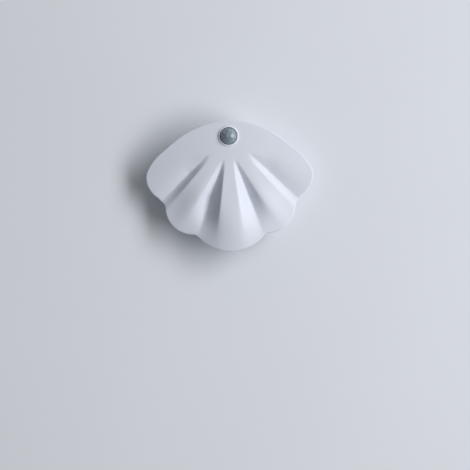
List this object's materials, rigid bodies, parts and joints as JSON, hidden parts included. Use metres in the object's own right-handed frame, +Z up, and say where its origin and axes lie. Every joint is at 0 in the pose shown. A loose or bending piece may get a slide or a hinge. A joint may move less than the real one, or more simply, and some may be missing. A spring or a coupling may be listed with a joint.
{
  "type": "motion sensor wall light",
  "caption": "White scallop-shaped wall light with a faceted motion sensor dome, a rear pod that washes the wall with light, a magnetic wall plate, a charging socket and a mode switch.",
  "frame": {"origin": "centre of the adhesive pad's rear face, on the wall", "axes": "+Z up, +X to the right of someone facing the light, -Y out from the wall"},
  "size_m": [0.12, 0.0299, 0.0935],
  "materials": {
    "shell_white": "fine matt moulded plastic",
    "cover_white": "matt moulded plastic",
    "diffuser_frost": "frosted, lets light through",
    "lens_grey": "faceted, smoked blue-grey",
    "bezel_white": "glossy",
    "steel": "zinc-plated",
    "magnet_nickel": "nickel-plated",
    "foam_tape": "adhesive foam",
    "cell_foil": "crimped foil pouch",
    "board_green": "solder mask",
    "board_white": "white solder mask",
    "black_plastic": "matt",
    "cream_plastic": "satin",
    "led_phosphor": "phosphor coated",
    "socket_steel": "drawn steel shell",
    "knob_grey": "ribbed",
    "clear_plastic": "clear",
    "wire_red": "insulated lead",
    "wire_black": "insulated lead",
    "cable_grey": "ribbon cable",
    "filter_dark": "dark infrared filter"
  },
  "bodies": {
    "wall_mount": {"wall_tape": "foam_tape", "wall_plate": "steel"},
    "lamp": {"rear_cover": "cover_white", "magnets": "magnet_nickel", "battery_tape": "foam_tape", "battery_cell": "cell_foil", "battery_wire_red": "wire_red", "battery_wire_black": "wire_black", "battery_connector": "cream_plastic", "main_board": "board_green", "board_chips": "black_plastic", "board_screws": "steel", "board_link": "black_plastic", "usb_socket": "socket_steel", "usb_tongue": "black_plastic", "switch_body": "black_plastic", "light_pipe": "clear_plastic", "status_led": "led_phosphor", "light_diffuser": "diffuser_frost", "inner_frame": "cover_white", "led_board": "board_white", "leds": "led_phosphor", "sensor_cable": "cable_grey", "cover_screws": "steel", "sensor_board": "board_green", "pir_can": "socket_steel", "pir_window": "filter_dark", "light_cell": "black_plastic", "sensor_collar": "black_plastic", "sensor_lens": "lens_grey", "lens_bezel": "bezel_white", "front_shell": "shell_white"},
    "mode_knob": {"switch_knob": "knob_grey"}
  },
  "joints": [
    {"name": "lamp_pull_off", "type": "slide", "parent": "wall_mount", "child": "lamp", "axis": [0, -1, 0], "range_m": [0, 0.03]},
    {"name": "mode_switch", "type": "slide", "parent": "lamp", "child": "mode_knob", "axis": [1, 0, 0], "range_m": [-0.002, 0.002]}
  ]
}
